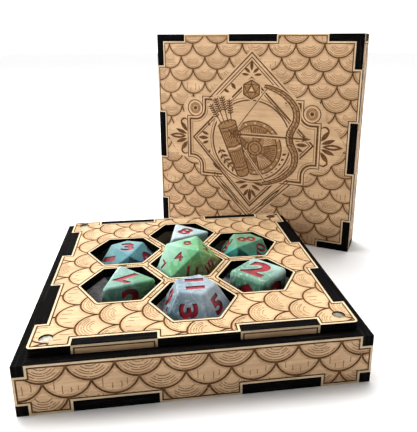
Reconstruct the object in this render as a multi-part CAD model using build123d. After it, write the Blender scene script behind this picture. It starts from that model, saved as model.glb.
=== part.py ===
"""Laser-cut plywood dice box: a tray of seven hexagonal cells, a lift-off lid and seven dice.

Frame: origin on the table at the centre of the tray's footprint, +Z up, -Y towards the front.
The lid rests beside the tray, standing on one of its own edges.
"""
import itertools
import math
import os

from build123d import *

os.makedirs("parts", exist_ok=True)

# Driving dimensions, millimetres
WIDTH = 102.0            # outside width of the tray and of the lid, both ways
PLY = 3.4                # plywood thickness
SHELL_DEPTH = 16.0       # depth of the tray shell and of the lid shell
CORNER_TAB = 15.3        # finger joints: length of the pattern's end fingers
LONG_TAB = 23.8          # finger joints: length of the three fingers between them

LIP_GAP = 0.1            # between an outer wall and the lip wall glued inside it
LIP_TOP = 18.7           # top face of the cell plate above the table
PLATE_CORNER_RADIUS = 1.2

CELL_FLATS = 24.0        # hexagonal opening across flats
CELL_PITCH = 27.3        # centre to centre
CELL_CORNER_RADIUS = 0.8

MAGNET_DIAMETER = 4.0
MAGNET_HEIGHT = 3.0
MAGNET_OFFSET = 43.0     # from the centre of the box, both ways

FLOOR_FELT = 2.0         # thick felt under the dice
LID_FELT = 1.0
FELT_CLEARANCE = 0.3
LID_BLOCK_SIDE = 9.2     # corner blocks that carry the lid's magnets
LID_BLOCK_HEIGHT = 9.6

LID_CORNER = (81.0, 38.4)    # where the lid's near corner stands on the table
LID_YAW = -30.7              # degrees, turn of the standing lid about +Z

HALF = WIDTH / 2
INNER = HALF - PLY                    # inside face of the outer walls
LIP_OUTER = INNER - LIP_GAP
LIP_INNER = LIP_OUTER - PLY
PLATE_BOTTOM = LIP_TOP - PLY
LIP_MIDDLE = (PLY + PLATE_BOTTOM) / 2
TAB_OUT = HALF - CORNER_TAB           # outer end of a panel tab, from the middle
TAB_IN = TAB_OUT - LONG_TAB           # inner end of a panel tab
FLOOR_TOP = PLY + FLOOR_FELT          # what the dice stand on

CELLS = {
    "centre": (0.0, 0.0),
    "back": (0.0, CELL_PITCH),
    "front": (0.0, -CELL_PITCH),
}
for column, x_sign in (("left", -1), ("right", 1)):
    for row, y_sign in (("back", 1), ("front", -1)):
        x = x_sign * CELL_PITCH * math.cos(math.radians(30))
        CELLS[f"{row}_{column}"] = (x, y_sign * CELL_PITCH / 2)


def block(x, y, z):
    """Box between the given (low, high) limits."""
    size = [high - low for low, high in (x, y, z)]
    middle = [(high + low) / 2 for low, high in (x, y, z)]
    return Pos(*middle) * Box(*size)


def quarter_turn(shape, count):
    return Rot(0, 0, 90 * count) * shape


def save(shape, name):
    shape.label = name
    export_step(shape, f"parts/{name}.step")


# ---------------------------------------------------------------- shell used by tray and by lid
def shell_panel():
    """Square panel with two tabs on every edge, lying in z 0..PLY."""
    panel = block((-INNER, INNER), (-INNER, INNER), (0, PLY))
    for count in range(4):
        for low, high in ((-TAB_OUT, -TAB_IN), (TAB_IN, TAB_OUT)):
            tab = block((low, high), (-HALF, -INNER), (0, PLY))
            panel += quarter_turn(tab, count)
    return panel


def shell_wall(long_middle):
    """Wall on the -Y side. long_middle: its middle finger reaches both corners, else its end fingers do."""
    end_reach = INNER if long_middle else HALF
    middle_reach = HALF if long_middle else INNER
    depth = (-HALF, -INNER)
    wall = block((-middle_reach, middle_reach), depth, (PLY, SHELL_DEPTH - PLY))
    wall += block((-end_reach, end_reach), depth, (SHELL_DEPTH - PLY, SHELL_DEPTH))
    for low, high in ((-end_reach, -TAB_OUT), (-TAB_IN, TAB_IN), (TAB_OUT, end_reach)):
        wall += block((low, high), depth, (0, PLY))
    return wall


# ---------------------------------------------------------------- tray
def lip_wall(long_below):
    """Inner wall on the -Y side. long_below: its lower half reaches both corners, else its upper half does."""
    low_reach = LIP_OUTER if long_below else LIP_INNER
    high_reach = LIP_INNER if long_below else LIP_OUTER
    depth = (-LIP_OUTER, -LIP_INNER)
    wall = block((-low_reach, low_reach), depth, (PLY, LIP_MIDDLE))
    wall += block((-high_reach, high_reach), depth, (LIP_MIDDLE, PLATE_BOTTOM))
    for low, high in ((-TAB_OUT, -TAB_IN), (TAB_IN, TAB_OUT)):
        wall += block((low, high), depth, (PLATE_BOTTOM, LIP_TOP))
    return wall


def cell_plate():
    outline = RectangleRounded(2 * LIP_OUTER, 2 * LIP_OUTER, PLATE_CORNER_RADIUS)
    notch_length = TAB_OUT - TAB_IN
    notch_middle = (TAB_OUT + TAB_IN) / 2
    notch_depth = (LIP_OUTER + LIP_INNER) / 2
    for count in range(4):
        for side in (-1, 1):
            notch = Pos(side * notch_middle, -notch_depth) * Rectangle(notch_length, PLY)
            outline -= quarter_turn(notch, count)
    cell = RegularPolygon(CELL_FLATS / 2, 6, major_radius=False)
    cell = fillet(cell.vertices(), CELL_CORNER_RADIUS)
    for x, y in CELLS.values():
        outline -= Pos(x, y) * cell
    for x, y in itertools.product((-MAGNET_OFFSET, MAGNET_OFFSET), repeat=2):
        outline -= Pos(x, y) * Circle(MAGNET_DIAMETER / 2)
    return Pos(0, 0, PLATE_BOTTOM) * extrude(outline, PLY)


def magnet(x, y, z_low):
    disc = Cylinder(MAGNET_DIAMETER / 2, MAGNET_HEIGHT, align=(Align.CENTER, Align.CENTER, Align.MIN))
    return Pos(x, y, z_low) * chamfer(disc.edges(), 0.2)


SIDES = ("front", "right", "back", "left")
CORNERS = {"front_left": (-1, -1), "front_right": (1, -1), "back_right": (1, 1), "back_left": (-1, 1)}

save(shell_panel(), "tray_bottom")
for count, side in enumerate(SIDES):
    save(quarter_turn(shell_wall(count % 2 == 0), count), f"tray_wall_{side}")
    save(quarter_turn(lip_wall(count % 2 == 0), count), f"lip_wall_{side}")

save(cell_plate(), "cell_plate")
felt_reach = LIP_INNER - FELT_CLEARANCE
save(block((-felt_reach, felt_reach), (-felt_reach, felt_reach), (PLY, FLOOR_TOP)), "felt_floor")
for name, (x_sign, y_sign) in CORNERS.items():
    save(magnet(x_sign * MAGNET_OFFSET, y_sign * MAGNET_OFFSET, PLATE_BOTTOM), f"plate_magnet_{name}")


# ---------------------------------------------------------------- lid, modelled open side up
yaw = math.radians(LID_YAW)
along = Vector(math.cos(yaw), math.sin(yaw), 0)
away = Vector(-math.sin(yaw), math.cos(yaw), 0)
face_centre = Vector(*LID_CORNER, 0) - along * HALF + Vector(0, 0, HALF)
LID_STANDING = Plane(origin=face_centre, x_dir=along, z_dir=away).location

# Standing on its edge, the lid's -Y side is uppermost
LID_SIDES = ("upper", "right", "lower", "left")
LID_CORNERS = {"upper_left": (-1, -1), "upper_right": (1, -1), "lower_right": (1, 1), "lower_left": (-1, 1)}


def lid_block(x_sign, y_sign):
    """Corner block with a blind hole for its magnet."""
    near = INNER - LID_BLOCK_SIDE
    top = PLY + LID_BLOCK_HEIGHT
    x = sorted((x_sign * near, x_sign * INNER))
    y = sorted((y_sign * near, y_sign * INNER))
    hole = Pos(x_sign * MAGNET_OFFSET, y_sign * MAGNET_OFFSET, top) * Cylinder(
        MAGNET_DIAMETER / 2, MAGNET_HEIGHT, align=(Align.CENTER, Align.CENTER, Align.MAX)
    )
    return block(x, y, (PLY, top)) - hole


def lid_felt():
    reach = INNER - FELT_CLEARANCE
    felt = block((-reach, reach), (-reach, reach), (PLY, PLY + LID_FELT))
    notch = LID_BLOCK_SIDE + FELT_CLEARANCE
    for x_sign, y_sign in CORNERS.values():
        x = sorted((x_sign * (INNER - notch), x_sign * INNER))
        y = sorted((y_sign * (INNER - notch), y_sign * INNER))
        felt -= block(x, y, (PLY, PLY + LID_FELT))
    return felt


save(LID_STANDING * shell_panel(), "lid_panel")
for count, side in enumerate(LID_SIDES):
    save(LID_STANDING * quarter_turn(shell_wall(count % 2 == 0), count), f"lid_wall_{side}")
save(LID_STANDING * lid_felt(), "lid_felt")
for name, (x_sign, y_sign) in LID_CORNERS.items():
    save(LID_STANDING * lid_block(x_sign, y_sign), f"lid_block_{name}")
    low = PLY + LID_BLOCK_HEIGHT - MAGNET_HEIGHT
    disc = magnet(x_sign * MAGNET_OFFSET, y_sign * MAGNET_OFFSET, low)
    save(LID_STANDING * disc, f"lid_magnet_{name}")


# ---------------------------------------------------------------- dice
GOLDEN = (1 + math.sqrt(5)) / 2
SIGNS = (-1, 1)


def cube():
    return list(itertools.product(SIGNS, repeat=3))


def octahedron():
    return [(1, 0, 0), (-1, 0, 0), (0, 1, 0), (0, -1, 0), (0, 0, 1), (0, 0, -1)]


def trapezohedron():
    """Ten kites: two poles, and a belt of ten points that zigzags so the kites come out flat."""
    pole = 0.9
    cosine = math.cos(math.radians(36))
    zigzag = pole * (1 - cosine) / (1 + cosine)
    belt = []
    for k in range(10):
        angle = math.radians(36 * k)
        belt.append((math.cos(angle), math.sin(angle), zigzag if k % 2 == 0 else -zigzag))
    return [(0, 0, pole), (0, 0, -pole)] + belt


def dodecahedron():
    points = cube()
    for a, b in itertools.product((-1 / GOLDEN, 1 / GOLDEN), (-GOLDEN, GOLDEN)):
        points += [(0, a, b), (a, b, 0), (b, 0, a)]
    return points


def icosahedron():
    points = []
    for a, b in itertools.product(SIGNS, (-GOLDEN, GOLDEN)):
        points += [(0, a, b), (a, b, 0), (b, 0, a)]
    return points


def hull_faces(points):
    """Faces of a convex solid centred on the origin, each a list of corners in order."""
    faces = {}
    for a, b, c in itertools.combinations(points, 3):
        normal = (b - a).cross(c - a)
        if normal.length < 1e-6:
            continue
        normal = normal.normalized()
        if normal.dot(a) < 0:
            normal = -normal
        distance = normal.dot(a)
        if all(normal.dot(p) < distance + 1e-6 for p in points):
            key = tuple(round(value, 4) + 0.0 for value in normal)
            faces[key] = (normal, [p for p in points if normal.dot(p) > distance - 1e-6])
    ordered = []
    for normal, corners in faces.values():
        middle = sum(corners, Vector(0, 0, 0)) / len(corners)
        x_dir = (corners[0] - middle).normalized()
        y_dir = normal.cross(x_dir)
        corners.sort(key=lambda p: math.atan2((p - middle).dot(y_dir), (p - middle).dot(x_dir)))
        ordered.append((normal, corners))
    return ordered


def die(corner_points, height, rounding):
    """Die resting on one face at z 0, its centre on the Z axis and that face's farthest corner towards +X.

    height is the distance between opposite faces.
    """
    points = [Vector(*p) for p in corner_points]
    faces = hull_faces(points)
    normal, first = faces[0]
    far_side = min(normal.dot(p) for p in points)
    scale = height / (normal.dot(first[0]) - far_side)
    shell = Shell([Face(Wire.make_polygon([p * scale for p in corners])) for _, corners in faces])
    solid = Solid(shell)
    solid = fillet(solid.edges(), rounding)
    foot = normal * (normal.dot(first[0]) * scale)
    reference = max(first, key=lambda p: round((p * scale - foot).length, 3))
    base = Plane(origin=foot, x_dir=reference * scale - foot, z_dir=-normal)
    return base.location.inverse() * solid


# name: (corner points, height, edge rounding, x, y, turn in degrees)
DICE = {
    "die_d20": (icosahedron(), 20.8, 1.1, 0.3, 0.4, -2.0),
    "die_d12": (dodecahedron(), 18.5, 1.3, 0.5, -27.0, 35.4),
    "die_d6": (cube(), 15.3, 1.8, 24.5, -13.4, -2.0),
    "die_d8_front": (octahedron(), 15.0, 1.3, -22.0, -12.6, 45.6),
    "die_d8_back": (octahedron(), 14.4, 1.0, 1.5, 27.8, 51.0),
    "die_d10_tens": (trapezohedron(), 14.4, 0.9, 24.5, 14.3, 240.0),
    "die_d10_units": (trapezohedron(), 14.4, 0.9, -22.4, 12.9, 275.0),
}
for name, (points, height, rounding, x, y, turn) in DICE.items():
    save(Pos(x, y, FLOOR_TOP) * Rot(0, 0, turn) * die(points, height, rounding), name)
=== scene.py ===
"""Looks of a laser-engraved plywood dice box and its dice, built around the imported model.

Each plywood piece is cut again from the flat outline of its own CAD node, with its engraving as real
grooves. The dice keep the faces of their CAD nodes, with numerals sunk into them.
Lengths are in millimetres until they are placed; MM turns them into metres.
"""
import math
import random

import bmesh
import bpy
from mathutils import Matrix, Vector
from mathutils import noise as solid_noise
from mathutils.geometry import delaunay_2d_cdt


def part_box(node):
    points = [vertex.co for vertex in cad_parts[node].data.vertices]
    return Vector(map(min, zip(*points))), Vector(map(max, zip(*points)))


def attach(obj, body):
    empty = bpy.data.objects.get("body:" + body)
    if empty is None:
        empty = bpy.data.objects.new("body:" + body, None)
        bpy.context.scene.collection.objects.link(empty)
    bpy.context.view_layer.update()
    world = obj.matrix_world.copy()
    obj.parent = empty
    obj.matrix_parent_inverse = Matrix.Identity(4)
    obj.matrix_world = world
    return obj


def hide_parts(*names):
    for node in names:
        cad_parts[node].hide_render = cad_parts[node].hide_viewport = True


MM = 0.001
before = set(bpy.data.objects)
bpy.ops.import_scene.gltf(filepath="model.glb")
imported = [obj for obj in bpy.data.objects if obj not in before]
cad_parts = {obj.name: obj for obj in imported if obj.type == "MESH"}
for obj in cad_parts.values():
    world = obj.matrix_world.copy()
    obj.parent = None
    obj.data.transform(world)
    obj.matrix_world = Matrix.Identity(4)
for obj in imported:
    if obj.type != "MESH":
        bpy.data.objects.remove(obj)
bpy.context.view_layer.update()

SIDES = ("front", "right", "back", "left")
LID_SIDES = ("upper", "right", "lower", "left")
LID_CORNERS = ("upper_left", "upper_right", "lower_right", "lower_left")
UP, BACK, RIGHT = Vector((0, 0, 1)), Vector((0, 1, 0)), Vector((1, 0, 0))
MERGE = 1e-4  # points nearer than this are one

# Engraving
BORDER_NEAR = 0.65  # border line: near and far side, from the edge of the wood
BORDER_FAR = 1.1
LINE_DEPTH = 0.25
FINE_DEPTH = 0.12
LINE_WIDTH = 0.6
FINE_WIDTH = 0.27
SCORCH_WIDTH = 1.3  # how much wider the browned wood is than the line in it
ART_TAGS = [f"{layer}_{mark}" for layer in ("top", "mid", "art") for mark in ("gap", "line", "fine")]
SCALE_PITCH = 13.0  # width of one scale
SCALE_STEPS = 18  # straight pieces in its line
RING_INSETS = (0.9, 1.7, 2.5, 3.3, 4.2)
CRACK_OFFSETS = (-3.4, -1.2, 1.1, 3.2)
# Scales of each sheet: height of a row, lowest point of one scale, share of ringed ones in even and odd rows
WALL_SCALES = (5.1, (-4.3, 1.95), (1.0, 0.1))
PLATE_SCALES = (6.45, (32.5, -3.4), (0.75, 0.4))
LID_SCALES = (6.1, (-37.5, 40.6), (0.95, 0.85))
SHEET_STEP = (173.0, 91.0)  # how far apart the pieces' grain lies
ROUND = 24  # an outline with more corners than this is rounded
MAGNET_HOLE = 40  # square millimetres; a rounded hole under this has no border

# Lid blocks and felts
BLOCK_PLIES = 3  # squares of plywood in one corner block of the lid
PLY_MISMATCH = 0.12  # how much smaller the middle square is
FELT_GRID = 1.5
FELT_EDGE = 0.75  # how far the felt's edges are pressed down
FELT_SINK = 0.3  # how far its middle lies under the CAD face, on average
LUMPS = (0.22, 0.28)  # how many to a millimetre, and how high
NAP = (0.9, 0.12)


# ---- flat geometry
def polar(angle, radius=1.0):
    return Vector((math.cos(angle), math.sin(angle))) * radius


def arc(centre, radius, start, end, steps):
    """Points along a circle, angles in degrees."""
    turns = [math.radians(start + (end - start) * k / steps) for k in range(steps + 1)]
    return [Vector(centre) + polar(turn, radius) for turn in turns]


def circle(centre, radius, count):
    """Corners of a regular polygon, the first one to the right."""
    return arc(centre, radius, 0, 360 - 360 / count, count - 1)


def sides(loop):
    """Each corner of a closed loop with the next one."""
    return zip(loop, loop[1:] + loop[:1])


def parallel(points, distances):
    """The open line moved to its left. distances: one number, or one for each point."""
    if not isinstance(distances, list):
        distances = [distances] * len(points)
    moved = []
    for k, point in enumerate(points):
        into = (point - points[k - 1]).normalized() if k else (points[1] - point).normalized()
        out = (points[k + 1] - point).normalized() if k < len(points) - 1 else into
        ahead = (into + out).normalized()
        side = Vector((-ahead.y, ahead.x)) / max(0.4, ahead.dot(out))
        moved.append(point + side * distances[k])
    return moved


def ribbon(points, width):
    """Outline of a stroke along open points. width: one number, or one for each point."""
    widths = width if isinstance(width, list) else [width] * len(points)
    left = parallel(points, [w / 2 for w in widths])
    right = parallel(points, [-w / 2 for w in widths])
    return left + right[::-1]


def inset(loop, distance):
    """The loop moved to its left by a distance, with mitred corners."""
    moved = []
    for k, point in enumerate(loop):
        into = (point - loop[k - 1]).normalized()
        out = (loop[(k + 1) % len(loop)] - point).normalized()
        side_in, side_out = Vector((-into.y, into.x)), Vector((-out.y, out.x))
        moved.append(point + (side_in + side_out) * distance / (1 + side_in.dot(side_out)))
    return moved


def area(loop):
    return sum(a.x * b.y - b.x * a.y for a, b in sides(loop)) / 2


def chain(edges):
    """Loops made of directed (start, end) edges."""
    following = dict(edges)
    loops = []
    while following:
        start, here = following.popitem()
        loop = [start]
        while here != start:
            loop.append(here)
            here = following.pop(here)
        loops.append(loop)
    return loops


def outer_edges(polygons):
    """Directed edges that only one polygon has."""
    edges = set()
    for corners in polygons:
        for a, b in sides(corners):
            if (b, a) in edges:
                edges.remove((b, a))
            else:
                edges.add((a, b))
    return sorted(edges)


def arrange(regions, loose=()):
    """Lays tagged outlines over each other. Gives points, and (corners, tags over them) for each triangle.

    loose: more points for the triangles to use.
    """
    points, faces, tags = list(loose), [], []
    for tag, outline in regions:
        faces.append(list(range(len(points), len(points) + len(outline))))
        points.extend(outline if area(outline) > 0 else outline[::-1])
        tags.append(tag)
    made = delaunay_2d_cdt(points, [], faces, 1, MERGE, True)
    cells = [(list(tri), {tags[i] for i in owners}) for tri, owners in zip(made[2], made[5])]
    return made[0], cells


# ---- from CAD nodes to flat outlines
def without_straight_points(loop):
    kept = []
    for k, point in enumerate(loop):
        into, out = point - loop[k - 1], loop[(k + 1) % len(loop)] - point
        if abs(into.x * out.y - into.y * out.x) > 1e-3 * into.length * out.length:
            kept.append(point)
    return kept


class Face:
    """The outermost flat face of a CAD node on one side, in its own plane, in millimetres.

    loops[0] is the outline, anticlockwise; the others run clockwise round holes.
    """

    def __init__(self, node, out, up):
        self.out, self.up = out.normalized(), up.normalized()
        self.across = self.up.cross(self.out)
        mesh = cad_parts[node].data
        reach = [self.out.dot(v.co) for v in mesh.vertices]
        self.level = max(reach)
        self.thickness = (self.level - min(reach)) / MM
        flat = [
            [tuple(round(x, 7) for x in mesh.vertices[i].co) for i in polygon.vertices]
            for polygon in mesh.polygons
            if all(self.level - reach[i] < 1e-6 for i in polygon.vertices)
        ]
        world = chain(outer_edges(flat))
        flat_points = [Vector(p) for loop in world for p in loop]
        spans = [sorted(axis.dot(p) for p in flat_points) for axis in (self.across, self.up)]
        self.middle = [(span[0] + span[-1]) / 2 for span in spans]
        self.half = [(span[-1] - span[0]) / 2 / MM for span in spans]
        self.loops = [without_straight_points([self.flatten(Vector(p)) for p in loop]) for loop in world]
        self.loops.sort(key=area, reverse=True)

    def flatten(self, point):
        return Vector((self.across.dot(point) - self.middle[0], self.up.dot(point) - self.middle[1])) / MM

    def place(self, point, depth):
        """World position of a flat point that lies depth under the face."""
        return (
            self.across * (self.middle[0] + point[0] * MM)
            + self.up * (self.middle[1] + point[1] * MM)
            + self.out * (self.level - depth * MM)
        )


def add(name, data):
    """New object in the scene."""
    made = bpy.data.objects.new(name, data)
    bpy.context.scene.collection.objects.link(made)
    return made


# ---- materials
def feed(tree, made, **inputs):
    """Links or sets a node's inputs. They go by name with _ for spaces, or by i and their number."""
    for key, value in inputs.items():
        numbered = key[0] == "i" and key[1:].isdigit()
        socket = made.inputs[int(key[1:]) if numbered else key.replace("_", " ")]
        if isinstance(value, bpy.types.NodeSocket):
            tree.links.new(value, socket)
        else:
            socket.default_value = value


def node(tree, kind, settings=None, **inputs):
    """Adds a shader node."""
    made = tree.nodes.new("ShaderNode" + kind)
    for key, value in (settings or {}).items():
        setattr(made, key, value)
    feed(tree, made, **inputs)
    return made


def vector_math(tree, operation, **inputs):
    return node(tree, "VectorMath", {"operation": operation}, **inputs).outputs[0]


def new_material(name):
    material = bpy.data.materials.new(name)
    material.use_nodes = True
    tree = material.node_tree
    return material, tree, tree.nodes["Principled BSDF"]


def rgb(red, green, blue):
    """Colour given as display values from 0 to 255, as linear light."""
    parts = [value / 255 for value in (red, green, blue)]
    return [p / 12.92 if p <= 0.04045 else ((p + 0.055) / 1.055) ** 2.4 for p in parts] + [1.0]


def noise(tree, place, scale, detail, rough=0.5, distortion=0.0):
    made = node(tree, "TexNoise", Vector=place, Scale=scale, Detail=detail, Roughness=rough,
                Distortion=distortion)
    return made.outputs["Fac"]


def sheet_noise(tree, stretch, detail, rough=0.5, distortion=0.0, scale=1.0):
    """Noise by place on the sheet: across, up and in, in millimetres, times stretch."""
    place = node(tree, "Attribute", {"attribute_name": "sheet"}).outputs["Vector"]
    place = vector_math(tree, "MULTIPLY", i0=place, i1=stretch)
    return noise(tree, place, scale, detail, rough, distortion)


def ramp(tree, factor, stops):
    """Smooth colour ramp through (position, colour) stops."""
    made = node(tree, "ValToRGB", Fac=factor)
    elements = made.color_ramp.elements
    made.color_ramp.interpolation = "EASE"
    for k, (position, colour) in enumerate(stops):
        element = elements[k] if k < 2 else elements.new(position)
        element.position = position
        element.color = colour
    return made.outputs["Color"]


def blend(tree, factor, first, second, mode):
    made = node(tree, "Mix", {"data_type": "RGBA", "blend_type": mode}, i0=factor, i6=first, i7=second)
    return made.outputs[2]


def shaded(tree, colour, tone):
    """The colour, darker where the tone is darker."""
    return blend(tree, 1.0, colour, tone, "MULTIPLY")


def bump(tree, height, strength, distance):
    return node(tree, "Bump", Height=height, Strength=strength, Distance=distance).outputs["Normal"]


def grey(value):
    return (value, value, value, 1.0)


WHITE = grey(1.0)


def wood(name, light, dark):
    """Smooth plywood face: long soft grain, short pores and broad patches."""
    material, tree, shader = new_material(name)
    grain = sheet_noise(tree, (0.06, 1.6, 0.4), 5.0, 0.6, 0.3)
    patches = sheet_noise(tree, (0.09, 0.14, 0.1), 3.0)
    pores = sheet_noise(tree, (0.5, 9.0, 1.0), 2.0)
    colour = ramp(tree, grain, [(0.3, dark), (0.7, light)])
    patch_tone = ramp(tree, patches, [(0.3, (0.84, 0.82, 0.79, 1)), (0.68, grey(1.04))])
    pore_tone = ramp(tree, pores, [(0.27, (0.84, 0.8, 0.76, 1)), (0.4, WHITE)])
    colour = shaded(tree, shaded(tree, colour, patch_tone), pore_tone)
    feed(tree, shader, Base_Color=colour, Normal=bump(tree, pores, 0.25, 0.00008), Roughness=0.62,
         Specular_IOR_Level=0.3)
    return material


def burnt(name, light, dark):
    """Floor of a groove that a laser burnt."""
    material, tree, shader = new_material(name)
    mottle = sheet_noise(tree, (0.9, 0.9, 0.9), 3.0)
    colour = ramp(tree, mottle, [(0.3, dark), (0.7, light)])
    feed(tree, shader, Base_Color=colour, Roughness=0.9, Specular_IOR_Level=0.1)
    return material


def charred():
    """Laser-cut edge of plywood: black, with faint lighter streaks along the plies."""
    material, tree, shader = new_material("charred_edge")
    streaks = sheet_noise(tree, (0.07, 0.07, 2.2), 4.0, 0.6)
    soot = sheet_noise(tree, (0.6, 0.6, 0.6), 3.0)
    colour = ramp(tree, streaks, [(0.5, rgb(4, 3, 3)), (0.8, rgb(38, 34, 32))])
    soot_tone = ramp(tree, soot, [(0.3, grey(0.45)), (0.6, WHITE)])
    colour = shaded(tree, colour, soot_tone)
    feed(tree, shader, Base_Color=colour, Normal=bump(tree, streaks, 0.5, 0.0002), Roughness=0.85,
         Specular_IOR_Level=0.04)
    return material


def felt():
    material, tree, shader = new_material("felt")
    fibres = sheet_noise(tree, (1.0, 1.0, 1.0), 6.0, 0.75, 1.5, scale=2.6)
    clumps = sheet_noise(tree, (0.45, 0.45, 0.45), 3.0)
    colour = ramp(tree, fibres, [(0.35, rgb(96, 94, 96)), (0.65, rgb(186, 184, 184))])
    clump_tone = ramp(tree, clumps, [(0.3, (0.55, 0.55, 0.56, 1)), (0.7, WHITE)])
    colour = shaded(tree, colour, clump_tone)
    feed(tree, shader, Base_Color=colour, Normal=bump(tree, fibres, 0.9, 0.0004), Roughness=1.0,
         Specular_IOR_Level=0.1, Sheen_Weight=0.3)
    return material


def nickel():
    material, tree, shader = new_material("nickel")
    coordinates = node(tree, "TexCoord").outputs["Object"]
    scuffs = noise(tree, coordinates, 900.0, 4.0)
    colour = ramp(tree, scuffs, [(0.3, rgb(120, 117, 106)), (0.7, rgb(176, 172, 158))])
    feed(tree, shader, Base_Color=colour, Metallic=1.0, Roughness=0.32)
    return material


BARE, FIELD, LINE, FINE, EDGE, SCORCHED = range(6)
PLYWOOD = [
    wood("plywood_bare", rgb(216, 193, 160), rgb(198, 172, 137)),
    wood("plywood_engraved_ground", rgb(210, 175, 137), rgb(191, 155, 117)),
    burnt("engraved_line", rgb(114, 79, 49), rgb(86, 57, 33)),
    burnt("engraved_fine", rgb(160, 123, 87), rgb(136, 100, 67)),
    charred(),
    wood("plywood_scorched", rgb(190, 154, 116), rgb(170, 132, 95)),
]
# Lighter copy of the same plywood for the top plate, which faces the lamp overhead: painted light.
PAINTED_LIGHT_PLYWOOD = [
    wood("painted_light_plywood_bare", rgb(226, 205, 168), rgb(208, 184, 146)),
    wood("painted_light_plywood_engraved_ground", rgb(219, 189, 147), rgb(197, 163, 122)),
    PLYWOOD[LINE],
    burnt("painted_light_engraved_fine", rgb(186, 150, 110), rgb(162, 126, 88)),
    PLYWOOD[EDGE],
    wood("painted_light_plywood_scorched", rgb(208, 172, 130), rgb(186, 148, 106)),
]


# ---- carving
def sheet_mesh(name, face, corners, faces, shift=(0, 0, 0)):
    """Mesh of flat corners at their depths. It keeps each one's place on its sheet, for the grain."""
    mesh = bpy.data.meshes.new(name)
    mesh.from_pydata([face.place(p, p[2]) for p in corners], [], faces)
    place = mesh.attributes.new("sheet", "FLOAT_VECTOR", "POINT")
    place.data.foreach_set("vector", [x for p in corners for x in Vector(p) + Vector(shift)])
    return mesh


def carve(name, face, points, cells, thickness, seed, materials):
    """Closed mesh of flat cells (corners, depth, material) at their depths, walled where depths differ."""
    made, index, faces, slots = [], {}, [], []

    def corner(point, depth):
        key = (point, round(depth, 4))
        if key not in index:
            index[key] = len(made)
            made.append((points[point][0], points[point][1], depth))
        return index[key]

    owner = {}
    for number, (corners, _, _) in enumerate(cells):
        for a, b in sides(corners):
            owner[a, b] = number
    rim = []
    for corners, depth, slot in cells:
        faces.append([corner(p, depth) for p in corners])
        slots.append(slot)
        for a, b in sides(corners):
            other = owner.get((b, a))
            low = thickness if other is None else cells[other][1]
            if other is None:
                rim.append((a, b))
            if low > depth:
                faces.append([corner(a, depth), corner(a, low), corner(b, low), corner(b, depth)])
                slots.append(EDGE if other is None else cells[other][2])
    back = [[points[p] for p in loop] for loop in chain(rim)]
    known = {tuple(round(x, 5) for x in points[p]): p for edge in rim for p in edge}
    flat, triangles = arrange([("wood" if area(loop) > 0 else "hole", loop) for loop in back])
    for tri, tags in triangles:
        if "hole" not in tags:
            keys = [tuple(round(x, 5) for x in flat[p]) for p in tri]
            faces.append([corner(known[key], thickness) for key in keys[::-1]])
            slots.append(BARE)
    mesh = sheet_mesh(name, face, made, faces, (seed * SHEET_STEP[0], seed * SHEET_STEP[1], 0))
    for material in materials:
        mesh.materials.append(material)
    mesh.polygons.foreach_set("material_index", slots)
    mesh.update()
    return add(name, mesh)


def groove(tags):
    """Depth and material under these tags, inside the border."""
    order = ART_TAGS if "ground" in tags else ("line", "fine", "scorch")
    mark = next((tag for tag in order if tag in tags), "gap")
    if mark.endswith("line"):
        return LINE_DEPTH, LINE
    if mark.endswith("fine"):
        return FINE_DEPTH, FINE
    if mark == "scorch":
        return 0.0, SCORCHED
    return 0.0, FIELD


def engraved(name, node_name, body, out, up, seed, drawing=(), sheet=PLYWOOD):
    """Plywood piece cut from its CAD node's face on one side, bordered and engraved with the drawing.

    drawing: (tag, outline). Where "ground" lies, ART_TAGS are cut, and elsewhere "line", "fine" and "scorch".
    """
    face = Face(node_name, out, up)
    regions = []
    for number, loop in enumerate(face.loops):
        regions.append(("sheet" if number == 0 else "hole", loop))
        if number == 0 or len(loop) <= ROUND or abs(area(loop)) >= MAGNET_HOLE:
            kind = min(number, 1)
            regions += [(f"near{kind}", inset(loop, BORDER_NEAR)), (f"far{kind}", inset(loop, BORDER_FAR))]
    regions += list(drawing)
    points, triangles = arrange(regions)
    cells = []
    for tri, tags in triangles:
        if "sheet" not in tags or "hole" in tags:
            continue
        depth, slot = 0.0, BARE
        if "far0" in tags and "far1" not in tags:
            depth, slot = groove(tags)
        elif "near0" in tags and "near1" not in tags:
            depth, slot = LINE_DEPTH, LINE
        cells.append((tri, depth, slot))
    piece = carve(name, face, points, cells, face.thickness, seed, sheet)
    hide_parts(node_name)
    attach(piece, body)


def stack_of_plies(node_name, body, out, up, seed):
    """Block glued up from squares of plywood. Only the first has the node's hole."""
    face = Face(node_name, out, up)
    ply = face.thickness / BLOCK_PLIES
    for count in range(BLOCK_PLIES):
        outline = inset(face.loops[0], PLY_MISMATCH * (count % 2))
        regions = [("sheet", outline)]
        if count == 0:
            regions += [("hole", loop) for loop in face.loops[1:]]
        points, triangles = arrange(regions)
        cells = [(tri, ply * count, BARE) for tri, tags in triangles if "hole" not in tags]
        name = f"{node_name}_ply_{count + 1}"
        piece = carve(name, face, points, cells, ply * (count + 1), seed + count, PLYWOOD)
        if count == 0:
            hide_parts(node_name)
        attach(piece, body)


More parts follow.
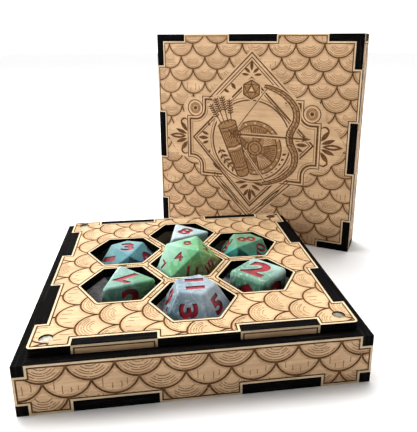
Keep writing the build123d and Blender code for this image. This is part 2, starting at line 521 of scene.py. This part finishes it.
def felt_sheet(name, node_name, body, out, up, material):
    """Felt cut to its CAD node's outline, lumpy on top and soft along its edges."""
    face = Face(node_name, out, up)
    outline = []
    for a, b in sides(face.loops[0]):
        steps = max(1, round((b - a).length / FELT_GRID))
        outline += [a.lerp(b, k / steps) for k in range(steps)]
    rng = random.Random(node_name)
    count = int(2 * max(face.half) / FELT_GRID)
    loose = [
        Vector(((i + 0.5 * (j % 2)) * FELT_GRID - face.half[0], j * FELT_GRID - face.half[1]))
        + polar(rng.uniform(0, 2 * math.pi), 0.15 * FELT_GRID)
        for i in range(count + 1) for j in range(count + 1)
    ]
    edge = {tuple(round(x, 4) for x in p) for p in outline}
    points, triangles = arrange([("sheet", outline)], loose)
    cells = [tri for tri, tags in triangles if "sheet" in tags]

    def depth(point):
        if tuple(round(x, 4) for x in point) in edge:
            return FELT_EDGE
        lumps = solid_noise.noise(Vector((point[0], point[1], 0)) * LUMPS[0])
        nap = solid_noise.noise(Vector((point[0], point[1], 9)) * NAP[0])
        return FELT_SINK + LUMPS[1] * lumps + NAP[1] * nap

    count = len(points)
    corners = [(p[0], p[1], depth(p)) for p in points] + [(p[0], p[1], face.thickness) for p in points]
    faces = [list(tri) for tri in cells] + [[p + count for p in tri[::-1]] for tri in cells]
    faces += [[a, a + count, b + count, b] for a, b in outer_edges(cells)]
    mesh = sheet_mesh(name, face, corners, faces)
    mesh.materials.append(material)
    made = bmesh.new()
    made.from_mesh(mesh)
    bmesh.ops.delete(made, geom=[v for v in made.verts if not v.link_faces], context="VERTS")
    made.to_mesh(mesh)
    mesh.polygons.foreach_set("use_smooth", [True] * len(mesh.polygons))
    piece = add(name, mesh)
    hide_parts(node_name)
    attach(piece, body)


# ---- fish-scale pattern
def scales(half, pattern, rng):
    """Rows of U-shaped scales over a rectangle, every other row shifted by half a scale.

    half: half size of the rectangle. Scales without rings have upright cracks.
    """
    row, origin, ringed = pattern
    regions = []
    reach = SCALE_PITCH / 2
    radius = (reach ** 2 + row ** 2) / (2 * row)
    spread = math.degrees(math.asin(min(1.0, reach / radius)))
    top = int((half[1] - origin[1]) / row) + 2
    bottom = -int((half[1] + origin[1]) / row) - 1
    for k in range(bottom, top):
        y = origin[1] + k * row
        first = -int((half[0] + origin[0]) / SCALE_PITCH) - 2
        last = int((half[0] - origin[0]) / SCALE_PITCH) + 2
        for j in range(first, last):
            x = origin[0] + (j + (k % 2) / 2) * SCALE_PITCH
            if abs(x) > half[0] + reach or y > half[1] or y + row < -half[1]:
                continue
            centre = Vector((x, y + radius))
            points = arc(centre, radius, 270 - spread, 270 + spread, SCALE_STEPS)
            waves = [math.sin(2 * math.pi * i / SCALE_STEPS) ** 2 for i in range(SCALE_STEPS + 1)]
            widths = [LINE_WIDTH * (1.1 - 0.2 * wave) for wave in waves]
            browned = [width + SCORCH_WIDTH * rng.uniform(0.7, 1.3) for width in widths]
            regions += [("line", ribbon(points, widths)), ("scorch", ribbon(points, browned))]
            if rng.random() < ringed[k % 2]:
                regions += rings(centre, radius, spread, rng)
            else:
                regions += cracks(x, y, row, rng)
    return regions


def rings(centre, radius, spread, rng):
    """Fine arcs inside the lower half of a scale, some of them broken."""
    made = []
    for inner in RING_INSETS:
        inner += rng.uniform(-0.15, 0.15)
        reach = spread * rng.uniform(0.5, 0.85)
        start = 270 - reach + rng.uniform(-8, 8)
        end = 270 + reach + rng.uniform(-8, 8)
        gap = rng.uniform(start + 15, end - 15)
        for low, high in ((start, gap - 3), (gap + 3, end)):
            made.append(("fine", ribbon(arc(centre, radius - inner, low, high, 6), FINE_WIDTH)))
    return made


def cracks(x, y, row, rng):
    """Fine upright lines in a scale."""
    made = []
    for offset in CRACK_OFFSETS:
        foot = y + rng.uniform(0.9, 1.8) + 0.1 * offset ** 2
        height = rng.uniform(1.2, 0.6 * row)
        at = x + offset + rng.uniform(-0.4, 0.4)
        lean = rng.uniform(-0.25, 0.25)
        points = [Vector((at, foot)), Vector((at + lean, foot + height / 2)), Vector((at, foot + height))]
        made.append(("fine", ribbon(points, FINE_WIDTH)))
    return made


def scaled_piece(name, node_name, body, out, up, pattern, seed, turned=False, art=(), sheet=PLYWOOD):
    """Plywood piece with scales all over it. turned: the scales hang towards -across instead of -up."""
    drawing = scales(Face(node_name, out, up).half, pattern, random.Random(seed))
    if turned:
        drawing = [(tag, [Vector((p.y, -p.x)) for p in outline]) for tag, outline in drawing]
    engraved(name, node_name, body, out, up, seed, drawing + list(art), sheet)


# ---- emblem on the lid
# A bow with a nocked arrow, a quiver and a shield, in a ring, on a framed diamond. Each tag is a layer (art,
# mid over it, top over both) and a mark: fine, line over it, or gap, which leaves the wood bare.
def smooth(points, steps=6):
    """Points along a soft curve through the given ones."""
    points = [Vector(p) for p in points]
    ends = [points[0] * 2 - points[1]] + points + [points[-1] * 2 - points[-2]]
    run = []
    for a, b, c, d in zip(ends, ends[1:], ends[2:], ends[3:]):
        for k in range(steps):
            t = k / steps
            bend = (a * 2 - b * 5 + c * 4 - d) * t * t
            run.append((b * 2 + (c - a) * t + bend + (b * 3 - a - c * 3 + d) * t ** 3) / 2)
    return run + [points[-1]]


def leaf(base, tip, width):
    """Almond-shaped outline."""
    base, tip = Vector(base), Vector(tip)
    way = tip - base
    side = Vector((-way.y, way.x)).normalized() * width / 2
    bulge = [side * math.sin(math.pi * k / 6) ** 0.8 for k in range(1, 6)]
    left = [base + way * (k / 6) + out for k, out in enumerate(bulge, 1)]
    right = [base + way * (k / 6) - out for k, out in enumerate(bulge, 1)]
    return [base] + right + [tip] + left[::-1]


def leaves(tag, *shapes):
    """Leaves given by their base, tip and width."""
    return [(tag, leaf(*shape)) for shape in shapes]


def stroke(tag, points, width):
    return [(tag, ribbon([Vector(p) for p in points], width))]


def ring(tag, loop, width):
    """Stroke round a closed loop, as two overlapping halves."""
    half = len(loop) // 2
    loop = loop + loop[:2]
    return stroke(tag, loop[: half + 2], width) + stroke(tag, loop[half:], width)


def both_sides(regions):
    return regions + [(tag, [Vector((-p.x, p.y)) for p in outline]) for tag, outline in regions]


def bracket():
    """Line of the frame's right side, round the disc, down the side and in again below."""
    upper = arc((30, 15), 5.6, 180, 270, 8)
    lower = arc((31.5, -15), 5.6, 90, 180, 8)
    return (
        [Vector((17.0, 19.6)), Vector((24.4, 19.6))] + upper + [Vector((33, 9.4)), Vector((33, -9.4))]
        + lower + [Vector((25.9, -18.6)), Vector((15.2, -18.6))]
    )


def emblem_frame():
    """Diamond in several lines, brackets and discs at its sides, leaves in its corners."""
    half = [("ground", [Vector(p) for p in [
        (0, 44.2), (23, 21.4), (26.5, 21.6), (28, 20.6), (33, 20.6), (36.4, 17), (36.4, 12), (38.5, 10.5),
        (42, 7), (46.5, 0), (42, -7), (38.5, -10.5), (33, -12), (28.5, -14), (27.6, -20.2), (22.4, -20.4),
        (0, -42.6),
    ]])]
    for offset, width in ((0, 0.6), (1.5, 0.45), (2.7, 0.45)):
        top, foot, short = 42.6 - 1.41 * offset, -41.0 + 1.41 * offset, offset * 0.6
        half += stroke("art_line", [(-0.2, top + 0.2), (22.3 - short, top - 22.3 + short)], width)
        half += stroke("art_line", [(-0.2, foot - 0.2), (21.0 - short, foot + 21.0 - short)], width)
    for offset, width, tag in ((0, 0.95, "art_line"), (1.5, 0.45, "art_line"), (-1.3, 0.4, "art_fine")):
        half += stroke(tag, parallel(bracket(), offset), width)
    for inner, width in ((0, 0.85), (1.6, 0.45)):
        top, side, foot = 31.0 - inner, 31.2 - inner, -34.0 + inner
        half += stroke("art_line", [(-0.2, top + 0.2), (side, 0), (-0.2, foot - 0.2)], width)
    # discs, each with a small hexagon in it
    half += ring("art_line", circle((30, 15), 4.1, 24), 0.45)
    half += [("art_fine", circle((30, 15), 2.9, 24)), ("art_gap", circle((30, 15), 1.5, 6))]
    half += [("top_line", circle((30, 15), 1.1, 6))]
    # leaves and scrolls outside the brackets
    for way in (1, -1):
        half += leaves("art_line", ((35, 1.2 * way), (41.5, 3.6 * way), 2.0),
                       ((34.8, 2.6 * way), (38.6, 7.6 * way), 2.2))
        scroll = smooth([(34.3, 8.6 * way), (36.5, 9.3 * way), (38.2, 7.9 * way), (37.4, 6.4 * way)])
        last = len(scroll) - 1
        swell = [0.3 + 0.6 * math.sin(math.pi * k / last) for k in range(last + 1)]
        half += stroke("art_line", scroll, swell)
        half += leaves("art_line", ((22.6, 1.6 * way), (26.4, 3.2 * way), 1.5),
                       ((21.9, 6.2 * way), (22.9, 8.0 * way), 1.2))
    half += leaves("art_line", ((35.4, 0), (45.2, 0), 2.9)) + leaves("art_gap", ((37.5, 0), (43, 0), 0.8))
    half += leaves("art_line", ((22.8, 0), (28.6, 0), 1.9))
    # long leaves beside the lower edges, and leaves in the top and bottom corners
    half += leaves("art_line", ((4.6, -34.6), (16.6, -22.4), 1.9))
    half += leaves("art_gap", ((7, -32.4), (14.4, -24.8), 0.6))
    half += leaves(
        "art_line", ((0.8, 33.2), (3.6, 35.6), 1.5), ((1.2, 32.2), (5.2, 32.6), 1.3),
        ((8.2, 25.2), (10.4, 28.2), 1.8), ((11.4, 23.6), (14.6, 25.0), 1.4),
        ((0.9, -22.6), (5.6, -25.2), 1.7), ((0.7, -25.0), (3.4, -29.0), 1.6),
        ((1.6, -21.2), (8.2, -22.4), 1.5), ((15.2, -17.0), (20.6, -13.0), 1.8),
    )
    whole = both_sides(half) + leaves("art_line", ((0, 34.2), (0, 39.2), 1.7), ((0, -24.5), (0, -31.4), 1.9))
    whole += ring("art_line", circle((0, 0), 20.2, 72), 0.7)
    return whole + ring("art_fine", circle((0, 0), 21.5, 72), 0.4)


def twenty_sided(centre, radius):
    """Outline drawing of a twenty-sided die that shows one whole triangle."""
    centre = Vector(centre)
    hexagon = [centre + polar(math.radians(30 + 60 * k), radius) for k in range(6)]
    triangle = [centre + polar(math.radians(90 + 120 * k), 0.56 * radius) for k in range(3)]
    art = [("mid_gap", [centre + (p - centre) * 1.22 for p in hexagon])]
    for a, b in sides(hexagon):
        art += stroke("top_line", [a, b], 0.6)
    for k, a in enumerate(triangle):
        art += stroke("top_line", [a, triangle[k - 1]], 0.5)
        for j in (0, 1, 2):
            art += stroke("top_line", [a, hexagon[(2 * k + j) % 6]], 0.35)
    art.append(("top_fine", hexagon))
    art.append(("top_gap", [centre + (p - centre) * 0.5 for p in triangle]))
    return art


def bow_and_arrow():
    """Drawn bow that faces right, its string pulled back to the nock of a level arrow."""
    limb = smooth([
        (6.5, 27.2), (10.4, 26.2), (16.6, 23.2), (21.8, 17.6), (22.6, 11.4), (20.2, 6.2), (19.6, 3.0),
        (20.2, -0.2), (22.6, -5.4), (21.8, -11.6), (16.6, -17.2), (10.4, -20.2), (6.5, -21.2),
    ], 5)
    count = len(limb) - 1
    shape = [0.9 + 2.3 * math.sin(math.pi * k / count) ** 0.7 for k in range(count + 1)]
    art = [("mid_gap", ribbon(limb, [w + 1.6 for w in shape]))]
    art.append(("top_fine", ribbon(limb, shape)))
    for way in (1, -1):
        art += stroke("top_line", parallel(limb, [way * w / 2 for w in shape]), 0.6)
    art += stroke("top_line", limb[4:-4], 0.35)
    for k in range(6, count - 5, 2):
        here, way = limb[k], (limb[k + 1] - limb[k]).normalized()
        across = Vector((-way.y, way.x)) * shape[k] / 2
        art += stroke("top_line", [here, here + across + way * 1.2], 0.3)
        art += stroke("top_gap", [here - across * 0.3 + way * 0.4, here - across * 0.8 - way * 0.7], 0.32)
    for k in range(-4, 5):
        art += stroke("top_line", [(18.0, 2.7 + 0.9 * k), (21.2, 3.3 + 0.9 * k)], 0.3)
    nock = (-9.5, 3)
    for tip in ((8.2, 26.4), (8.2, -20.4)):
        art += stroke("mid_gap", [tip, nock], 1.3)
        art += stroke("top_line", [tip, nock], 0.42)
    art += stroke("mid_gap", [(-12, 3), (30.5, 3)], 2.2)
    art += stroke("top_line", [(-11, 3), (27, 3)], 0.85)
    art += [("top_line", [Vector(p) for p in [(25.4, 4.5), (30.2, 3), (25.4, 1.5), (26.4, 3)]])]
    for k in range(5):
        for way in (1, -1):
            base = Vector((-10.2 + 1.3 * k, 3 + 0.3 * way))
            art += stroke("top_line", [base, base + Vector((-1.6, 1.9 * way))], 0.55)
    return art


def quiver():
    """Leaning quiver with a hatched body, two bands, a strap and four feathered arrows."""
    axis = Vector((-0.34, 0.94)).normalized()
    side = Vector((axis.y, -axis.x))
    foot = Vector((-3.6, -17.2))

    def at(across, along):
        return foot + side * across + axis * along

    body = [at(*p) for p in [
        (-3.2, 0), (-1.6, -1.3), (1.6, -1.3), (3.2, 0), (4.8, 27), (2.4, 28.2), (-2.4, 28.2), (-4.8, 27),
    ]]
    art = []
    for lean, length in ((-3.4, 38.6), (-1.2, 40.8), (1.2, 40.6), (3.4, 38.0)):
        tip = at(1.55 * lean, length)
        root = at(0.8 * lean, 27)
        way = (tip - root).normalized()
        art += stroke("mid_gap", [root, tip + way], 3.4)
        art += stroke("top_line", [root, tip], 0.5)
        across = Vector((-way.y, way.x))
        for k in range(6):
            here = tip - way * (0.6 + 1.15 * k)
            for turn in (1, -1):
                art += stroke("top_line", [here - way * 0.9, here + across * 1.45 * turn], 0.66)
    art.append(("mid_gap", [p + (p - at(0, 13.5)).normalized() * 0.9 for p in body]))
    art.append(("top_fine", body))
    for a, b in sides(body):
        art += stroke("top_line", [a, b], 0.6)
    for along in (2.6, 4.2, 12.6, 15.4, 23.6, 25.2):
        reach = 3.2 + 1.6 * along / 27
        art += stroke("top_line", [at(-reach, along), at(0, along - 0.7), at(reach, along)], 0.5)
    art += stroke("top_gap", [at(-3.6, 14.2), at(0, 13.5), at(3.6, 14.2)], 0.8)
    for k in range(7):
        for low, high in ((5.0, 12.0), (16.0, 23.0)):
            across = -3.0 + k
            art += stroke("top_line", [at(across * 0.95, low), at(across * 1.15, high)], 0.22)
    return art


def shield():
    """Round shield with a studded rim, hatched quarters and a boss."""
    middle = Vector((2.2, -3.4))
    radius, rim, boss = 13.6, 11.4, 3.6
    art = [("art_gap", circle(middle, radius + 0.9, 72)), ("mid_fine", circle(middle, radius, 72))]
    for size, width in ((radius, 0.6), (rim, 0.5), (boss, 0.6), (boss - 1.4, 0.4)):
        art += ring("mid_line", arc(middle, size, 0, 355, 47), width)
    for k in range(16):
        stud = middle + polar(math.radians(22.5 * k), (radius + rim) / 2)
        art.append(("mid_gap", circle(stud, 0.55, 8)))
    for k in range(8):
        way = polar(math.radians(45 * k + 12))
        art += stroke("mid_line", [middle + way * boss, middle + way * rim], 0.55)
        dark = k % 2 == 1
        tag = "mid_line" if dark else "mid_gap"
        for j in range(1, 7):
            lean = math.radians(45 * k + 12 + 6.2 * j)
            inner = boss + (1.2 if dark else 0.6 * j)
            outer = rim - (0.9 if dark else 0.9 * (7 - j) / 3)
            art += stroke(tag, [middle + polar(lean, inner), middle + polar(lean, outer)], 0.34)
    return art


def sprigs():
    """Leafy twigs inside the ring, low at both sides."""
    made = []
    for start, end in ((195, 250), (290, 345)):
        twig = arc((0, 0), 17.2, start, end, 12)
        made += stroke("art_line", twig, 0.4)
        for k in range(1, 12, 2):
            here, out = twig[k], twig[k].normalized()
            ahead = (twig[k + 1] - twig[k - 1]).normalized()
            made += leaves("art_line", (here, here + out * 1.9 + ahead * 1.6, 1.2),
                           (here, here - out * 2.6 + ahead * 1.8, 1.3))
    return made


def emblem():
    return emblem_frame() + sprigs() + shield() + twenty_sided((0, 25.2), 4.6) + quiver() + bow_and_arrow()


# ---- tray and lid
def flat_direction(first, second):
    """Level direction from one CAD node's middle to another's."""
    way = sum(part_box(second), Vector()) - sum(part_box(first), Vector())
    return Vector((way.x, way.y, 0)).normalized()


LID_ALONG = flat_direction("lid_wall_left", "lid_wall_right")
LID_OUT = LID_ALONG.cross(UP)  # the way its engraved face looks


def make_tray():
    engraved("bottom", "tray_bottom", "tray", -UP, BACK, 1)
    for count, side in enumerate(SIDES):
        out = flat_direction("tray_bottom", f"tray_wall_{side}")
        scaled_piece(f"outer_wall_{side}", f"tray_wall_{side}", "tray", out, UP, WALL_SCALES, 2 + count)
        engraved(f"inner_wall_{side}", f"lip_wall_{side}", "tray", out, UP, 6 + count)
    # The top plate takes the lighter copy of the plywood, as painted light from above.
    scaled_piece("top_plate", "cell_plate", "tray", UP, BACK, PLATE_SCALES, 10, turned=True,
                 sheet=PAINTED_LIGHT_PLYWOOD)


def make_lid():
    scaled_piece("lid_face", "lid_panel", "lid", LID_OUT, UP, LID_SCALES, 11, art=emblem())
    for count, side in enumerate(LID_SIDES):
        way = {"upper": UP, "lower": -UP, "left": -LID_ALONG, "right": LID_ALONG}[side]
        scaled_piece(f"lid_side_{side}", f"lid_wall_{side}", "lid", way, -LID_OUT, WALL_SCALES, 12 + count)


def make_felts():
    cloth = felt()
    felt_sheet("floor_felt", "felt_floor", "tray", UP, BACK, cloth)
    felt_sheet("lining_felt", "lid_felt", "lid", -LID_OUT, UP, cloth)


def make_lid_blocks():
    for count, corner in enumerate(LID_CORNERS):
        stack_of_plies(f"lid_block_{corner}", "lid", -LID_OUT, UP, 20 + 3 * count)


def finish_magnets():
    """The magnets stay plain CAD discs."""
    metal = nickel()
    for name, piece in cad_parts.items():
        if "magnet" in name:
            piece.data.materials.clear()
            piece.data.materials.append(metal)


make_tray()
make_lid()
make_felts()
make_lid_blocks()
finish_magnets()


# ---- dice
NUMERAL_DEPTH = 0.3
NUMERAL_STRETCH = 1.3  # numerals on dice are wider than the font's
CAPITAL = 0.73  # height of a numeral at a font size of 1
SLIVER = 1e-3  # square millimetres; the font's fill has pieces with no area
SWIRL = 0.35  # how far the resin's colours drift, as a share of the die
FLAT_SHARE = 0.3  # a face with this share of the largest face's area carries a numeral
SKEW = 0.5  # degrees between facets that count as one flat face


def resin(name, node_name, along, stops, wisp_colour, wisps):
    """Cast resin for a die: colours in the order of stops along a direction, swirled, with pale wisps. The
    stops hold the resin's own colours, and their darkening towards the bottom is painted shade.
    """
    material, tree, shader = new_material(name)
    low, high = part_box(node_name)
    place = node(tree, "TexCoord").outputs["Object"]
    place = vector_math(tree, "SUBTRACT", i0=place, i1=(low + high) / 2)
    place = vector_math(tree, "SCALE", i0=place, Scale=1 / max(high - low))
    drift = node(tree, "TexNoise", Vector=place, Scale=2.2, Detail=3.0, Roughness=0.5).outputs["Color"]
    drift = vector_math(tree, "SUBTRACT", i0=drift, i1=(0.5, 0.5, 0.5))
    drift = vector_math(tree, "SCALE", i0=drift, Scale=2 * SWIRL)
    swirled = vector_math(tree, "ADD", i0=place, i1=drift)
    # The direction points down, so the stops grow darker towards the bottom of the die: painted shade over
    # the resin's own colours.
    run = Vector(along).normalized()
    reach = node(tree, "VectorMath", {"operation": "DOT_PRODUCT"}, i0=swirled, i1=run).outputs["Value"]
    level = node(tree, "MapRange", Value=reach, From_Min=-0.5, From_Max=0.5).outputs[0]
    colour = ramp(tree, level, [(at, rgb(*shade)) for at, shade in stops])
    streaks = noise(tree, swirled, 3.1, 3.0, 0.5, 1.6)
    pale = ramp(tree, streaks, [(0.46, grey(0.0)), (0.51, grey(wisps)), (0.58, grey(0.0))])
    cloud = ramp(tree, noise(tree, swirled, 7.0, 4.0, 0.6), [(0.3, grey(0.82)), (0.7, WHITE)])
    colour = blend(tree, pale, colour, rgb(*wisp_colour), "MIX")
    feed(tree, shader, Base_Color=shaded(tree, colour, cloud), Roughness=0.3, Specular_IOR_Level=0.13,
         Subsurface_Weight=0.3, Subsurface_Radius=(1.0, 1.0, 1.0), Subsurface_Scale=0.0015)
    return material


def paint(name, light, dark):
    """Paint in the sunk numerals of a die."""
    material, tree, shader = new_material(name)
    place = node(tree, "TexCoord").outputs["Object"]
    tone = noise(tree, place, 420.0, 3.0)
    feed(tree, shader, Base_Color=ramp(tree, tone, [(0.35, dark), (0.65, light)]), Roughness=0.45)
    return material


def numeral(text, height, weight):
    """Flat pieces of a numeral in Blender's own font, centred. weight thickens its strokes."""
    curve = bpy.data.curves.new("numeral", "FONT")
    curve.body = text
    curve.size = height / CAPITAL
    curve.offset = weight
    curve.resolution_u = 4
    mesh = bpy.data.meshes.new_from_object(bpy.data.objects.new("numeral", curve))
    places = [Vector((v.co.x * NUMERAL_STRETCH, v.co.y)) for v in mesh.vertices]
    middle = [(min(p[k] for p in places) + max(p[k] for p in places)) / 2 for k in (0, 1)]
    pieces = [[places[i] - Vector(middle) for i in polygon.vertices] for polygon in mesh.polygons]
    return [piece for piece in pieces if abs(area(piece)) > SLIVER]


def sunk_numeral(flat, text, up, slide, height, weight):
    """One flat face of a die with its numeral sunk in, as (corners, material) of each polygon."""
    out = flat.normal.copy()
    up = Vector(up)
    up = (up - out * out.dot(up)).normalized()
    across = up.cross(out)
    corners = [v.co for v in flat.verts]
    middle = sum(corners, Vector()) / len(corners)

    def flatten(point):
        return Vector(((point - middle).dot(across), (point - middle).dot(up))) / MM

    def place(point, depth):
        return middle + (across * point[0] + up * point[1] - out * depth) * MM

    regions = [("face", [flatten(c) for c in corners])]
    for loop in numeral(text, height, weight):
        regions.append(("glyph", [p + Vector((0, slide)) for p in loop]))
    points, triangles = arrange(regions)
    pieces, cut = [], {}
    for tri, tags in triangles:
        if "face" not in tags:
            continue
        sunk = "glyph" in tags
        depth = NUMERAL_DEPTH if sunk else 0.0
        pieces.append(([place(points[p], depth) for p in tri], int(sunk)))
        if sunk:
            cut.update(dict.fromkeys(sides(tri)))
    for a, b in cut:
        if (b, a) not in cut:
            wall = [place(points[a], 0), place(points[a], NUMERAL_DEPTH), place(points[b], NUMERAL_DEPTH),
                    place(points[b], 0)]
            pieces.append((wall, 1))
    return pieces


def shade_round(mesh):
    """Lets the rounded edges shade smoothly into the flats beside them."""
    flat_normal = {}
    for polygon in mesh.polygons:
        if not polygon.use_smooth:
            for corner in polygon.vertices:
                flat_normal.setdefault(corner, polygon.normal.copy())
    normals = []
    for polygon in mesh.polygons:
        for corner in polygon.vertices:
            blended = flat_normal.get(corner, mesh.vertices[corner].normal)
            normals.append(tuple(blended if polygon.use_smooth else polygon.normal))
    mesh.normals_split_custom_set(normals)


def make_die(kind, body_resin, height, weight, marks, others, slide=0.0):
    """Die on its CAD node's faces.

    height, weight: of its numerals. marks: (direction, numeral, up) for the faces that are told apart.
    others: the numerals of the rest, with spaces between them.
    """
    node_name = f"die_{kind}"
    source = bmesh.new()
    source.from_mesh(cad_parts[node_name].data)
    bmesh.ops.remove_doubles(source, verts=source.verts, dist=1e-7)
    bmesh.ops.dissolve_limit(source, angle_limit=math.radians(SKEW), verts=source.verts, edges=source.edges)
    source.normal_update()
    largest = max(f.calc_area() for f in source.faces)
    flats = [f for f in source.faces if f.calc_area() > FLAT_SHARE * largest]
    flats.sort(key=lambda f: tuple(round(x, 3) for x in f.normal))
    others = others.split()
    chosen = {}
    for direction, text, up in marks:
        best = max(flats, key=lambda f: f.normal.dot(Vector(direction)))
        chosen[best.index] = (text, up)
    pieces = [([v.co.copy() for v in f.verts], 0, True) for f in source.faces if f not in flats]
    for f in flats:
        if f.index in chosen:
            text, up = chosen[f.index]
        else:
            middle = sum((v.co for v in f.verts), Vector()) / len(f.verts)
            up = max((v.co - middle for v in f.verts), key=lambda way: round(way.length, 6))
            if len(flats) == 6:  # on a cube a numeral stands on a side, not on a corner
                up = (f.verts[0].co + f.verts[1].co) / 2 - middle
            text = others.pop(0)
        carved = sunk_numeral(f, text, up, slide, height, weight)
        pieces += [(corners, material, False) for corners, material in carved]
    result = bmesh.new()
    for corners, material, smooth in pieces:
        made = result.faces.new([result.verts.new(c) for c in corners])
        made.material_index = material
        made.smooth = smooth
    bmesh.ops.remove_doubles(result, verts=result.verts, dist=3e-7)
    mesh = bpy.data.meshes.new(node_name + "_carved")
    result.to_mesh(mesh)
    for material in (body_resin, CRIMSON):
        mesh.materials.append(material)
    shade_round(mesh)
    die = add(mesh.name, mesh)
    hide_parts(node_name)
    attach(die, f"{kind}_body")


CRIMSON = paint("numeral_crimson", rgb(162, 22, 46), rgb(104, 12, 30))


# Each die's stops go from light to dark along a way that points down: the resin's own colours, with painted
# shade towards the bottom.
make_die("d20", resin("resin_green", "die_d20", (0.75, -0.35, -0.55), [
    (0.12, (160, 203, 180)), (0.36, (104, 170, 120)), (0.58, (112, 158, 92)), (0.85, (104, 106, 46)),
], (176, 210, 190), 0.35), 3.5, 0.17, [
    (UP, "8", BACK),
    ((-0.35, -0.57, 0.75), "4", (0.3, 1, 0)),
    ((0.1, -0.94, 0.33), "11", (0.2, 0, 1)),
    ((0.75, -0.61, 0.33), "10", (-0.3, -0.2, 1)),
    ((-0.86, -0.36, 0.33), "7", (0.2, 0, 1)),
    ((0.66, -0.02, 0.75), "2", BACK),
], "1 3 5 6. 9. 12 13 14 15 16 17 18 19 20")
make_die("d12", resin("resin_pale", "die_d12", (-0.6, 0.1, -0.75), [
    (0.1, (152, 168, 178)), (0.35, (124, 145, 156)), (0.6, (100, 128, 136)), (0.85, (70, 100, 102)),
], (192, 198, 208), 0.5), 5.7, 0.38, [
    (UP, "11", RIGHT),
    ((-0.24, -0.86, 0.45), "3", RIGHT),
    ((0.75, -0.49, 0.45), "5", (-0.2, 0, 1)),
    ((-0.89, -0.04, 0.45), "9.", UP),
], "1 2 4 6. 7 8 10 12")
make_die("d6", resin("resin_mint", "die_d6", (-0.45, -0.3, -0.85), [
    (0.04, (160, 188, 178)), (0.2, (108, 150, 132)), (0.55, (90, 140, 112)), (0.85, (56, 94, 66)),
], (186, 204, 198), 0.5), 9.6, 0.62, [
    (UP, "2", (0.73, 0.68, 0)),
    ((-0.73, -0.68, 0), "6", UP),
    ((0.68, -0.73, 0), "3", UP),
], "1 4 5")
make_die("d8_front", resin("resin_leafy", "die_d8_front", (0.85, -0.35, -0.4), [
    (0.04, (186, 206, 200)), (0.16, (118, 160, 148)), (0.5, (94, 144, 118)),
    (0.75, (92, 148, 102)), (0.95, (70, 112, 72)),
], (176, 196, 190), 0.35), 7.0, 0.45, [
    (UP, "7", (-0.53, -0.85, 0)),
    ((0.25, -0.91, 0.33), "2", UP),
], "1 3 4 5 6 8")
make_die("d8_back", resin("resin_white", "die_d8_back", (0.6, -0.5, -0.6), [
    (0.2, (182, 200, 202)), (0.5, (164, 194, 194)), (0.75, (138, 168, 152)), (0.9, (104, 134, 112)),
], (206, 214, 214), 0.4), 6.2, 0.36, [
    (UP, "8", (0.6, 0.8, 0)),
    ((-0.93, 0.15, 0.33), "4", UP),
], "1 2 3 5 6 7")
make_die("d10_tens", resin("resin_teal", "die_d10_tens", (-0.1, -0.45, -0.9), [
    (0.1, (104, 142, 106)), (0.32, (82, 140, 110)), (0.55, (70, 156, 140)), (0.85, (46, 100, 148)),
], (130, 168, 160), 0.3), 4.2, 0.24, [
    (UP, "00", BACK),
], "10 20 30 40 50 60 70 80 90", -1.2)
make_die("d10_units", resin("resin_blue", "die_d10_units", (0.5, -0.5, -0.7), [
    (0.1, (106, 150, 152)), (0.35, (88, 142, 150)), (0.6, (84, 136, 150)), (0.85, (70, 112, 142)),
], (150, 180, 188), 0.35), 6.6, 0.4, [
    (UP, "3", BACK),
], "0 1 2 4 5 6. 7 8 9.", -1.2)


# ---- camera, light, floor
CAMERA_AT = Vector((-11.1, -165.7, 98.9)) * MM
CAMERA_DOWN = 16.4  # degrees
CAMERA_RIGHT = 8.1
LENS = 40.0
LENS_SHIFT = (-0.0259, -0.0788)
DOME = 1.9  # brightness of the studio behind the object
FRONT = 0.04  # brightness of the studio on the camera's side
HORIZON = 0.78  # brightness of a low band all round
FLOOR_REACH = 4.0  # metres


def make_camera():
    data = bpy.data.cameras.new("camera")
    data.lens = LENS
    data.shift_x, data.shift_y = LENS_SHIFT
    data.clip_start = 0.01
    camera = add("camera", data)
    camera.location = CAMERA_AT
    camera.rotation_euler = (math.radians(90 - CAMERA_DOWN), 0, math.radians(-CAMERA_RIGHT))
    bpy.context.scene.camera = camera


def area_light(name, at, target, size, power):
    data = bpy.data.lights.new(name, "AREA")
    data.size = size
    data.energy = power
    light = add(name, data)
    light.location = at
    light.rotation_euler = (Vector(target) - Vector(at)).to_track_quat("-Z", "Y").to_euler()


def make_world():
    world = bpy.data.worlds.new("studio")
    bpy.context.scene.world = world
    world.use_nodes = True
    tree = world.node_tree
    way = node(tree, "TexCoord").outputs["Generated"]
    parts = node(tree, "SeparateXYZ", Vector=way).outputs
    behind = node(tree, "MapRange", Value=parts["Y"], From_Min=-0.25, From_Max=0.35, To_Min=FRONT,
                  To_Max=DOME)
    horizon = node(tree, "MapRange", Value=parts["Z"], From_Min=0.12, From_Max=0.3, To_Min=HORIZON,
                   To_Max=0.0)
    brighter = node(tree, "Math", {"operation": "MAXIMUM"}, i0=behind.outputs[0], i1=horizon.outputs[0])
    tree.nodes["Background"].inputs["Color"].default_value = WHITE
    tree.links.new(brighter.outputs[0], tree.nodes["Background"].inputs["Strength"])


def make_floor():
    mesh = bpy.data.meshes.new("floor")
    corners = [(x * FLOOR_REACH, y * FLOOR_REACH, 0) for x, y in ((-1, -1), (1, -1), (1, 1), (-1, 1))]
    mesh.from_pydata(corners, [], [(0, 1, 2, 3)])
    floor = add("floor", mesh)
    material, tree, shader = new_material("floor")
    feed(tree, shader, Base_Color=grey(0.95), Roughness=0.7)
    mesh.materials.append(material)


make_camera()
make_world()
make_floor()
area_light("overhead", at=(-0.1, 0.35, 0.8), target=(0, 0.03, 0.02), size=0.6, power=8.0)
area_light("side", at=(-0.7, 0.0, 0.3), target=(0, 0.03, 0.05), size=0.4, power=4.5)
bpy.context.scene.view_settings.view_transform = "Standard"
